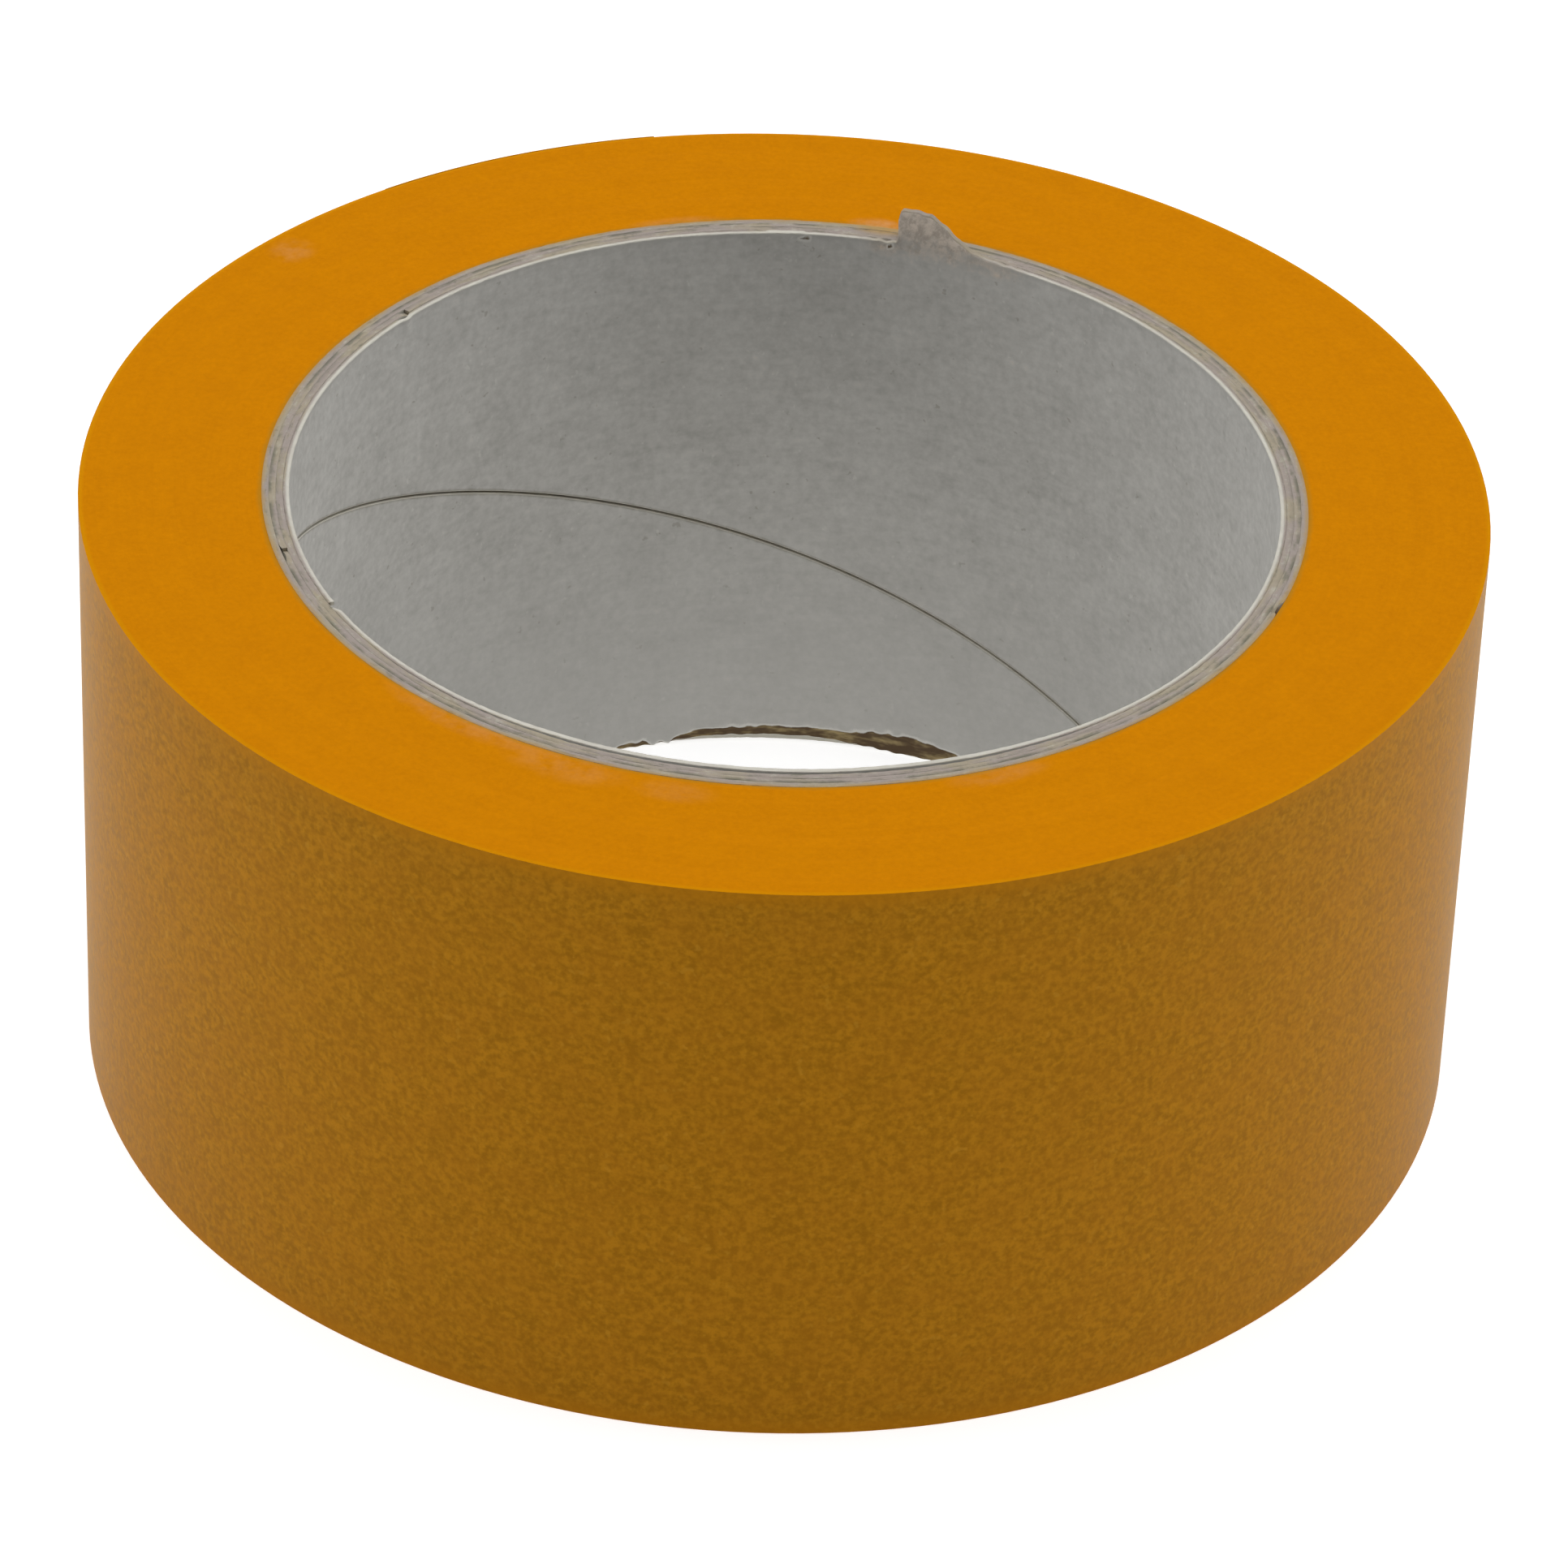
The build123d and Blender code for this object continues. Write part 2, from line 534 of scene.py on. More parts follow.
@dataclass(frozen=True)
class BoardWallFinish:
    """Smooth face of the grey recycled board, worn through where its vertices say so, with painted
    shade under the top edge, towards the foot, along the joint and on the bare board, and a
    painted highlight along the torn edges.
    """

    name: str
    colour: Colour
    deep: Colour
    fleck: Colour
    radius: float
    top: float
    light: Colour = (0.72, 0.71, 0.66)
    fuzz: Colour = (0.68, 0.55, 0.43)
    tuft: Colour = (0.33, 0.25, 0.18)
    # Painted shade colour for the border along the joint.
    seam_shade: Colour = (0.27, 0.25, 0.205)
    joint: Optional["Seam"] = None
    # Near-black bare board: painted shade over the brown board.
    raw_in_shade: Colour = (0.085, 0.052, 0.025)
    raw_light: Colour = (0.33, 0.25, 0.115)

    def make(self) -> bpy.types.Material:
        """Builds the material.

        Returns:
            The finished material.
        """
        paint = Paint(self.name)
        unrolled = paint.unrolled(self.radius)
        pulp = paint.noise(0.70 * MM, 3.0, roughness=0.6)
        felt = paint.noise(4.5 * MM, 3.0)
        fibres = paint.noise(0.9 * MM, 2.0, (0.35, 1.0, 1.3), unrolled)
        flecks = paint.noise(0.9 * MM, 2.0, roughness=0.6).step(0.69, 0.76)
        lights = paint.noise(0.8 * MM, 2.0, (1.2, 1.0, 0.8), roughness=0.6).step(0.67, 0.76)
        shade = (pulp - 0.5) * 1.3 + (fibres - 0.5) * 0.6 + (felt - 0.5) * 0.7 + 0.5
        colour = paint.mix(shade, self.deep, self.colour)
        colour = paint.mix(flecks * 0.42, colour, self.fleck)
        colour = paint.mix(lights * 0.30, colour, self.light)
        ragged = (pulp - 0.5) * 0.9 + (fibres - 0.5) * 0.5
        fuzz = (paint.attribute(FUZZ) + ragged).step(0.1, 1.0)
        tufts = paint.noise(0.8 * MM, 4.0, (1.0, 1.0, 0.8), roughness=0.7)
        torn_colour = paint.mix(tufts.step(0.36, 0.60), self.tuft, self.fuzz)
        colour = paint.mix(fuzz, colour, torn_colour)
        # Painted shade: a darker band just under the top edge, where the rim shades the wall.
        under_rim_shade = paint.z.step(self.top - 0.55 * MM, self.top - 0.15 * MM)
        # Painted shade: the wall darkens from 30 mm down towards its foot.
        foot_shade = paint.z.step(30.0 * MM, 4.0 * MM)
        colour = paint.mix(under_rim_shade * 0.45 + foot_shade * 0.60, colour, self.deep)
        # Painted shade: a grey-brown border along the ply's joint stands for the shade in its gap.
        if self.joint:
            turned = paint.math("FLOORED_MODULO", paint.angle, FULL_TURN)
            top_angle = self.joint.top_angle % FULL_TURN
            middle = (turned - top_angle) * (self.joint.pitch / FULL_TURN) + self.top
            away = abs(paint.z - middle) + (pulp - 0.5) * (0.2 * MM)
            colour = paint.mix(away.step(0.42 * MM, 0.15 * MM) * 0.75, colour, self.seam_shade)
        wear = paint.attribute(WEAR) + ragged * 0.35
        # Painted highlight: a pale band along the torn upper edge of the worn patches.
        lip = wear.step(0.12, 0.38)
        colour = paint.mix(lip * 0.5, colour, self.light)
        # Bare board where the grey face is worn off: real brown board, whose near-black tone is
        # painted shade.
        bare = wear.step(0.42, 0.58)
        frayed = paint.noise(1.1 * MM, 3.0, (0.35, 1.0, 1.2), unrolled, 0.65)
        bare_colour = paint.mix(frayed.step(0.44, 0.72), self.raw_in_shade, self.raw_light)
        colour = paint.mix(bare, colour, bare_colour)
        height = pulp * 0.6 + fibres * 0.4
        return paint.finish(
            Base_Color=colour,
            Roughness=0.82 + (pulp - 0.5) * 0.2,
            Specular_IOR_Level=0.25,
            Normal=paint.bump(height, 0.05 * MM, 0.5),
        )


@dataclass(frozen=True)
class BoardCutFinish:
    """Sawn edge of a board ply: streaky, fibrous, with dark glue along its outer side."""

    name: str
    inner_radius: float
    outer_radius: float
    pale_edge: float
    glue: float
    stain: float
    mauve: Colour = (0.345, 0.295, 0.265)
    beige: Colour = (0.365, 0.315, 0.235)
    olive: Colour = (0.185, 0.180, 0.135)
    pale: Colour = (0.49, 0.47, 0.39)
    burr: Colour = (0.62, 0.60, 0.53)
    glue_colour: Colour = (0.145, 0.140, 0.103)
    stain_colour: Colour = (0.42, 0.265, 0.085)
    smear: tuple[Spot, ...] = ()

    def make(self) -> bpy.types.Material:
        """Builds the material.

        Returns:
            The finished material.
        """
        paint = Paint(self.name)
        unrolled = paint.unrolled(self.outer_radius)
        streak = paint.noise(0.50 * MM, 3.0, (0.18, 1.0, 0.4), unrolled, 0.65)
        pulp = paint.noise(0.50 * MM, 3.0, roughness=0.65)
        patch = paint.noise(2.2 * MM, 3.0)
        hue = paint.noise(1.5 * MM, 3.0, (0.4, 1.3, 1.0), unrolled)
        colour = paint.mix(hue.step(0.38, 0.62), self.mauve, self.beige)
        dark = streak * 0.7 + pulp * 0.3
        colour = paint.mix(dark.step(0.47, 0.33) * 0.75, colour, self.olive)
        light = streak * 0.6 + pulp * 0.4
        colour = paint.mix(light.step(0.52, 0.68) * 0.6, colour, self.pale)
        outer = self.outer_radius - paint.radius + (pulp - 0.5) * (0.12 * MM)
        seep = outer.step(0.42 * MM, 0.05 * MM) * patch.step(0.36, 0.60)
        colour = paint.mix(seep * self.glue, colour, self.glue_colour)
        inner = paint.radius - self.inner_radius + (pulp - 0.5) * (0.10 * MM)
        burr = inner.step(0.40 * MM, 0.16 * MM) * (1.0 - paint.attribute(FUZZ))
        burr = burr * (0.9 + (patch - 0.5) * 0.8)
        colour = paint.mix(burr * self.pale_edge, colour, self.burr)
        bleed = (outer + (patch - 0.5) * (0.5 * MM)).step(0.42 * MM, -0.05 * MM)
        colour = paint.mix(bleed * self.stain, colour, self.stain_colour)
        for spot in self.smear:
            residue = paint.near(spot) * (0.6 + patch * 0.6) * spot.strength
            colour = paint.mix(residue, colour, self.stain_colour)
        return paint.finish(
            Base_Color=colour,
            Roughness=0.88 + (pulp - 0.5) * 0.15,
            Specular_IOR_Level=0.2,
            Normal=paint.bump(streak * 0.5 + pulp * 0.5, 0.12 * MM, 0.8),
        )


@dataclass
class Wardrobe:
    """Every material of the roll, made once and shared by the pieces."""

    made: dict[str, bpy.types.Material] = field(default_factory=dict)

    def get(self, key: str, finish: Any) -> bpy.types.Material:
        """The material of that key, made the first time that it is asked for.

        Args:
            key: The material's name in the wardrobe.
            finish: The finish that makes it.

        Returns:
            The material.
        """
        if key not in self.made:
            self.made[key] = finish.make()
        return self.made[key]


# ---------------------------------------------------------------------------
# Modelling helpers
# ---------------------------------------------------------------------------


@dataclass(frozen=True)
class Unevenness:
    """Repeatable irregular wander round a turn, as a sum of whole waves."""

    seed: int
    height: float
    fewest: int
    most: int
    waves: int = 28

    def at(self, angle: np.ndarray) -> np.ndarray:
        """The wander at each angle.

        Args:
            angle: Angles, in radians.

        Returns:
            Offsets in metres, mostly within height.
        """
        chance = np.random.default_rng(self.seed)
        counts = chance.integers(self.fewest, self.most, self.waves)
        phases = chance.uniform(0.0, FULL_TURN, self.waves)
        sizes = chance.uniform(0.4, 1.0, self.waves)
        total = np.zeros_like(angle)
        for count, phase, size in zip(counts, phases, sizes):
            total += size * np.sin(count * angle + phase)
        return total * self.height / math.sqrt(self.waves * 0.5)


def eased(value: np.ndarray, low: float, high: float) -> np.ndarray:
    """Smooth rise of an array from 0 at low to 1 at high.

    Args:
        value: The array.
        low: Where the rise starts.
        high: Where it ends.

    Returns:
        The eased array.
    """
    share = np.clip((value - low) / (high - low), 0.0, 1.0)
    return share * share * (3.0 - 2.0 * share)


def angle_from(angle: np.ndarray, middle: float) -> np.ndarray:
    """Signed angle from a middle angle, between minus and plus half a turn.

    Args:
        angle: Angles, in radians.
        middle: The angle that counts as zero.

    Returns:
        The signed differences.
    """
    return (angle - middle + math.pi) % FULL_TURN - math.pi


def ovalled(points: np.ndarray) -> np.ndarray:
    """Lets the roll go slightly oval towards its top face, as a stored roll does.

    Args:
        points: Vertices of a round piece.

    Returns:
        The vertices, moved straight out from or in to the axis.
    """
    share = OVAL * points[:, 2] * (points[:, 0] ** 2 - points[:, 1] ** 2)
    moved = points.copy()
    moved[:, :2] *= (1.0 + share)[:, None]
    return moved


CUT_SEED = 31
# Period in laps and height of each wave in the level of the tape's cut face.
CUT_WAVES = (
    (71.0, 0.016 * MM),
    (29.0, 0.010 * MM),
    (11.0, 0.005 * MM),
    (4.3, 0.003 * MM),
)


def cut_wander(lap: np.ndarray) -> np.ndarray:
    """How far each lap sits off the level of the cut, as one smooth function of laps.

    Args:
        lap: Laps from the core.

    Returns:
        Heights, in metres.
    """
    chance = np.random.default_rng(CUT_SEED)
    total = np.zeros_like(lap)
    for period, height in CUT_WAVES:
        total += height * np.sin(FULL_TURN * lap / period + chance.uniform(0, FULL_TURN))
    return total


def push_out(
    points: np.ndarray, distance: np.ndarray, radius: Union[float, np.ndarray]
) -> None:
    """Moves vertices away from the axis, or towards it where the distance is negative.

    Args:
        points: The vertices, moved in place.
        distance: How far each of them goes, in metres.
        radius: Radius at which that distance holds.
    """
    points[:, :2] *= (1.0 + distance / radius)[:, None]


class Bench:
    """Starts, edits and finishes mesh pieces with Blender's own operators."""

    @staticmethod
    @contextmanager
    def editing(piece: bpy.types.Object) -> Iterator[None]:
        """Edit mode on one piece, with everything in it selected.

        Args:
            piece: The piece to edit.

        Yields:
            Nothing; object mode comes back at the end.
        """
        bpy.context.view_layer.objects.active = piece
        bpy.ops.object.mode_set(mode="EDIT")
        bpy.ops.mesh.select_all(action="SELECT")
        yield
        bpy.ops.object.mode_set(mode="OBJECT")

    @staticmethod
    def clear_selection() -> None:
        """Deselects every object, CAD nodes included."""
        bpy.ops.object.select_all(action="DESELECT")

    @classmethod
    def grid(cls, name: str, columns: int, rows: int) -> bpy.types.Object:
        """Flat unit sheet to be shaped.

        Args:
            name: The piece's name.
            columns: Faces along X.
            rows: Faces along Y.

        Returns:
            The new object.
        """
        cls.clear_selection()
        bpy.ops.mesh.primitive_grid_add(x_subdivisions=columns, y_subdivisions=rows, size=1.0)
        return cls._name(name)

    @classmethod
    def section(cls, name: str, low: Vector, high: Vector) -> bpy.types.Object:
        """Upright rectangle in the XZ plane between two corners, as four edges.

        Args:
            name: The piece's name.
            low: Its corner at the least X and Z.
            high: Its corner at the greatest X and Z.

        Returns:
            The new object, its place in its mesh.
        """
        cls.clear_selection()
        middle = (low + high) / 2
        bpy.ops.mesh.primitive_plane_add(
            size=1.0, location=middle, rotation=(math.pi / 2, 0.0, 0.0)
        )
        made = cls._name(name)
        made.scale = (high.x - low.x, high.z - low.z, 1.0)
        bpy.ops.object.transform_apply(location=True, rotation=True, scale=True)
        with cls.editing(made):
            bpy.ops.mesh.delete(type="ONLY_FACE")
        return made

    @classmethod
    def outline(cls, name: str, points: int, radius: float) -> bpy.types.Object:
        """Closed loop of edges in the XZ plane, off the axis, to be spun.

        Args:
            name: The piece's name.
            points: Vertices in the loop.
            radius: How far its middle is from the axis.

        Returns:
            The new object, its place in its mesh.
        """
        cls.clear_selection()
        bpy.ops.mesh.primitive_circle_add(
            vertices=points,
            radius=radius / 4,
            location=(radius, 0.0, 0.0),
            rotation=(math.pi / 2, 0.0, 0.0),
        )
        made = cls._name(name)
        bpy.ops.object.transform_apply(location=True, rotation=True, scale=True)
        return made

    @classmethod
    def spin(cls, piece: bpy.types.Object, steps: int) -> None:
        """Sweeps the outline round the axis; each ring is put in its own place afterwards.

        Args:
            piece: The outline.
            steps: Faces along the sweep; there is one more ring of vertices than that.
        """
        cls.apply(
            piece,
            "SCREW",
            axis="Z",
            angle=FULL_TURN / 2,
            steps=steps,
            render_steps=steps,
            use_merge_vertices=False,
        )

    @classmethod
    def close(cls, piece: bpy.types.Object) -> None:
        """Fills the open ends and turns every face outwards.

        Args:
            piece: The piece.
        """
        with cls.editing(piece):
            bpy.ops.mesh.fill_holes(sides=0)
            bpy.ops.mesh.select_all(action="SELECT")
            bpy.ops.mesh.normals_make_consistent(inside=False)

    @staticmethod
    def _name(name: str) -> bpy.types.Object:
        """Names the active object and its mesh.

        Args:
            name: The piece's name.

        Returns:
            The object.
        """
        made = bpy.context.object
        made.name = name
        made.data.name = name
        return made

    @staticmethod
    def points(piece: bpy.types.Object) -> np.ndarray:
        """The piece's vertices as an array.

        Args:
            piece: The piece.

        Returns:
            A row of x, y and z for each vertex.
        """
        flat = np.empty(len(piece.data.vertices) * 3)
        piece.data.vertices.foreach_get("co", flat)
        return flat.reshape(-1, 3)

    @staticmethod
    def set_points(piece: bpy.types.Object, points: np.ndarray) -> None:
        """Writes the vertices back."""
        piece.data.vertices.foreach_set("co", points.astype(np.float32).ravel())
        piece.data.update()

    @staticmethod
    def select_edges(piece: bpy.types.Object, test: Callable[[Vector, Vector], bool]) -> None:
        """Selects the edges whose two ends pass a test; call it in edit mode.

        Args:
            piece: The piece.
            test: Takes an edge's two ends.
        """
        bpy.ops.mesh.select_all(action="DESELECT")
        bpy.ops.object.mode_set(mode="OBJECT")
        vertices = piece.data.vertices
        for edge in piece.data.edges:
            first, second = (vertices[i].co for i in edge.vertices)
            edge.select = test(first, second)
        bpy.ops.object.mode_set(mode="EDIT")

    @staticmethod
    def apply(piece: bpy.types.Object, kind: str, **settings: Any) -> None:
        """Adds a modifier with its settings and applies it.

        Args:
            piece: The piece.
            kind: The modifier's type.
            settings: Its properties.
        """
        modifier = piece.modifiers.new(kind.lower(), kind)
        for name, value in settings.items():
            setattr(modifier, name, value)
        bpy.context.view_layer.objects.active = piece
        bpy.ops.object.modifier_apply(modifier=modifier.name)

    @classmethod
    def weld(cls, piece: bpy.types.Object, distance: float) -> None:
        """Merges vertices that meet and turns every face outwards.

        Args:
            piece: The piece.
            distance: How near two vertices have to be.
        """
        with cls.editing(piece):
            bpy.ops.mesh.remove_doubles(threshold=distance)
            bpy.ops.mesh.normals_make_consistent(inside=False)

    @classmethod
    def smooth(cls, piece: bpy.types.Object, degrees: float) -> None:
        """Shades smooth but for sharp edges.

        Args:
            piece: The piece.
            degrees: Angle above which an edge is sharp.
        """
        cls.clear_selection()
        piece.select_set(True)
        bpy.context.view_layer.objects.active = piece
        bpy.ops.object.shade_smooth_by_angle(angle=math.radians(degrees))

    @staticmethod
    def dress(
        piece: bpy.types.Object, materials: list[bpy.types.Material], numbers: np.ndarray
    ) -> None:
        """Gives each face one of the materials.

        Args:
            piece: The piece.
            materials: Its materials, in order.
            numbers: For each face, its material's number.
        """
        for material in materials:
            piece.data.materials.append(material)
        piece.data.polygons.foreach_set("material_index", numbers.astype(np.int32))
        piece.data.update()

    @staticmethod
    def keep(piece: bpy.types.Object, name: str, values: np.ndarray) -> None:
        """Keeps one number per vertex on the piece, for its material to read."""
        made = piece.data.attributes.new(name, "FLOAT", "POINT")
        made.data.foreach_set("value", values.astype(np.float32))

    @staticmethod
    def faces(piece: bpy.types.Object) -> tuple[np.ndarray, np.ndarray]:
        """Where the faces are and which way they look.

        Args:
            piece: The piece.

        Returns:
            Their centres and their normals, as rows.
        """
        count = len(piece.data.polygons)
        centres, normals = np.empty(count * 3), np.empty(count * 3)
        piece.data.polygons.foreach_get("center", centres)
        piece.data.polygons.foreach_get("normal", normals)
        return centres.reshape(-1, 3), normals.reshape(-1, 3)


class Body(Enum):
    """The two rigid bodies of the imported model."""

    ROLL = "roll"
    TAPE_END = "tape_end"


class Slot(Enum):
    """The record's material slots."""

    LINER = "core_liner"
    BOARD = "core_board"
    TAPE = "tape"
    TAPE_END = "tape_end"


# ---------------------------------------------------------------------------
# Core
# ---------------------------------------------------------------------------


@dataclass(frozen=True)
class Seam:
    """Helical butt joint of a ply: where it meets the top face, how wide, how crushed."""

    top_angle: float
    gap: float
    crush: float = 0.0
    crush_reach: float = 0.7 * MM
    pitch: float = 91.9 * MM

    def height_at(self, angle: np.ndarray, width: float) -> np.ndarray:
        """Height of the joint's middle at each angle, followed on beyond one turn.

        Args:
            angle: Angles, in radians, not wrapped.
            width: The roll's width.

        Returns:
            Heights above the base.
        """
        return width + (angle - self.top_angle) / FULL_TURN * self.pitch

    def angle_at(self, height: float, width: float) -> float:
        """Angle at which the joint's middle reaches a height."""
        return self.top_angle - (width - height) / self.pitch * FULL_TURN

    def rise(self, radius: float) -> float:
        """Height of the gap, straight up the wall."""
        climb = math.atan2(self.pitch, FULL_TURN * radius)
        return self.gap / math.cos(climb)

    def dent(self, points: np.ndarray, width: float, radius: float) -> np.ndarray:
        """How far the board is crushed in beside the joint.

        Args:
            points: The ply's vertices.
            width: The roll's width.
            radius: The ply's radius.

        Returns:
            Depths, in metres.
        """
        joint = self.top_angle - (width - points[:, 2]) / self.pitch * FULL_TURN
        away = angle_from(np.arctan2(points[:, 1], points[:, 0]), joint) * radius
        return self.crush * (1.0 - eased(np.abs(away), 0.1 * MM, self.crush_reach))


@dataclass(frozen=True)
class CutSection:
    """Section of a strip: its two faces and two rims, with eased corners."""

    face_rows: int
    back_rows: int
    corner: float
    rim_points: int = 3

    def outline(self) -> np.ndarray:
        """Points round the section, up the face and down the back.

        Returns:
            Rows of depth share, depth offset, height share and height offset.
        """
        ease = self.corner
        nip = 0.3 * ease
        across = np.linspace(0.0, 1.0, self.rim_points + 2)[1:-1]
        face = [(0.0, 0.0, share, ease * (1 - 2 * share)) for share in self._rows(self.face_rows)]
        back = [(1.0, 0.0, share, ease * (1 - 2 * share)) for share in self._rows(self.back_rows)]
        top = [(0.0, nip, 1.0, -nip), (0.0, ease, 1.0, 0.0)]
        top += [(share, 0.0, 1.0, 0.0) for share in across]
        top += [(1.0, -ease, 1.0, 0.0), (1.0, -nip, 1.0, -nip)]
        foot = [(depth, inset, 0.0, -lift) for depth, inset, _, lift in reversed(top)]
        return np.array(face + top + back[::-1] + foot)

    @staticmethod
    def _rows(count: int) -> np.ndarray:
        """Shares of the height, closer together near both rims."""
        return 0.5 - 0.5 * np.cos(np.linspace(0.0, math.pi, count + 1))


@dataclass(frozen=True)
class Rim:
    """A ply's sawn edge: its level, its roughness and how it is marked."""

    level: float
    rough: float
    pale_edge: float = 0.0
    glue: float = 0.5
    stain: float = 0.0


@dataclass
class SpiralPly:
    """One ply of the core: a helical board strip with rough sawn edges."""

    name: str
    node: str
    layer: int
    seam: Seam
    rim: Rim
    sizes: RollSizes
    seed: int
    columns: int = 1500
    section: CutSection = CutSection(4, 3, 0.012 * MM)
    layers: int = 4
    glue_line: float = 0.006 * MM
    blunt_tip: float = 0.3 * MM
    relief: float = 0.0
    sawn_reach: float = 0.5 * MM
    foot_gap: float = 0.02 * MM
    smear: Spot = Spot(math.radians(80.0), 0.0, 3.0 * MM, 1.7 * MM, 0.9)
    slot: Slot = Slot.BOARD

    @property
    def inner_radius(self) -> float:
        """Radius of the ply's inner face."""
        wall = self.sizes.core_radius - self.sizes.bore_radius
        return self.sizes.bore_radius + wall * self.layer / self.layers + self.relief

    @property
    def thickness(self) -> float:
        """Board thickness, less the glue line."""
        wall = (self.sizes.core_radius - self.sizes.bore_radius) / self.layers
        return wall - self.glue_line - self.relief

    @property
    def outer_radius(self) -> float:
        """Radius of the ply's outer face."""
        return self.inner_radius + self.thickness

    def build(self, wardrobe: Wardrobe) -> bpy.types.Object:
        """Spins, winds, roughens and dresses the ply.

        Args:
            wardrobe: The roll's materials.

        Returns:
            The finished piece.
        """
        outline = self.section.outline()
        piece = Bench.outline(self.name, len(outline), self.inner_radius)
        Bench.spin(piece, self.columns)
        points = self._wind(outline)
        self.roughen(piece, points)
        Bench.set_points(piece, ovalled(points))
        Bench.close(piece)
        Bench.smooth(piece, BOARD_CRISP)
        Bench.dress(piece, self.materials(wardrobe), self._on_rim(piece, outline))
        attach(piece, Body.ROLL.value)
        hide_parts(self.node)
        return piece

    @staticmethod
    def _on_rim(piece: bpy.types.Object, outline: np.ndarray) -> np.ndarray:
        """Finds the faces of both sawn edges and of the two blunt ends.

        Args:
            piece: The ply, its vertices in rings.
            outline: The section's points.

        Returns:
            For each face, 1 on a cut and 0 on the board's own faces.
        """
        on_face = (outline[:, 1] == 0.0) & np.isin(outline[:, 0], (0.0, 1.0))
        numbers = [
            0 if all(on_face[index % len(outline)] for index in face.vertices) else 1
            for face in piece.data.polygons
        ]
        return np.array(numbers)

    def _wind(self, outline: np.ndarray) -> np.ndarray:
        """Places each ring of the spin on an upright line of the helical strip.

        Args:
            outline: The section's points.

        Returns:
            The vertices of the strip, ring by ring.
        """
        width = self.sizes.width
        half_gap = self.seam.rise(self.inner_radius + self.thickness / 2) / 2
        first = self.seam.angle_at(half_gap + self.blunt_tip, width)
        last = self.seam.angle_at(width - half_gap - self.blunt_tip, width) + FULL_TURN
        angle = np.linspace(first, last, self.columns + 1)[:, None]
        high = np.minimum(self.seam.height_at(angle, width) - half_gap, width)
        low = np.maximum(self.seam.height_at(angle - FULL_TURN, width) + half_gap, 0.0)
        scale = np.minimum((high - low) / (6 * self.section.corner), 1.0)
        depth, inset, share, lift = outline.T
        radius = self.inner_radius + depth * self.thickness + inset * scale
        height = low + share * (high - low) + lift * scale
        wound = np.stack([radius * np.cos(angle), radius * np.sin(angle), height], axis=-1)
        return wound.reshape(-1, 3)

    def roughen(self, piece: bpy.types.Object, points: np.ndarray) -> None:
        """Makes the sawn edges uneven and crushes the joint, in place.

        Args:
            piece: The ply; not used here.
            points: Its vertices.
        """
        angle = np.arctan2(points[:, 1], points[:, 0])
        width = self.sizes.width
        radius = np.hypot(points[:, 0], points[:, 1])
        depth = (radius - self.inner_radius) / self.thickness
        coarse = Unevenness(self.seed, self.rim.rough, 3, 40).at(angle)
        fine = Unevenness(self.seed + 1, self.rim.rough * 0.6, 60, 240).at(angle + depth * 0.11)
        at_top = eased(points[:, 2], width - self.sawn_reach, width)
        at_foot = eased(points[:, 2], self.sawn_reach, 0.0)
        points[:, 2] += at_top * (coarse + fine + self.rim.level)
        points[:, 2] += at_foot * (np.abs(coarse + fine) + self.foot_gap)
        outside = np.clip(depth * 2.0 - 1.0, 0.0, 1.0)
        push_out(points, -outside * self.seam.dent(points, width, radius), radius)

    def materials(self, wardrobe: Wardrobe) -> list[bpy.types.Material]:
        """The ply's wall and cut-edge materials.

        Args:
            wardrobe: The roll's materials.

        Returns:
            Both materials, the wall's first.
        """
        wall = BoardWallFinish(
            "board_raw_face",
            (0.58, 0.56, 0.49),
            (0.44, 0.42, 0.36),
            (0.25, 0.22, 0.17),
            self.inner_radius,
            self.sizes.width,
        )
        return [wardrobe.get("board_raw_face", wall), self.cut_material(wardrobe)]

    def cut_material(self, wardrobe: Wardrobe) -> bpy.types.Material:
        """The material of this ply's sawn edges.

        Args:
            wardrobe: The roll's materials.

        Returns:
            The material.
        """
        name = f"{self.name}_cut"
        cut = BoardCutFinish(
            name,
            self.inner_radius,
            self.outer_radius,
            self.rim.pale_edge,
            self.rim.glue,
            self.rim.stain,
            smear=(replace(self.smear, radius=self.sizes.core_radius),),
        )
        return wardrobe.get(name, cut)


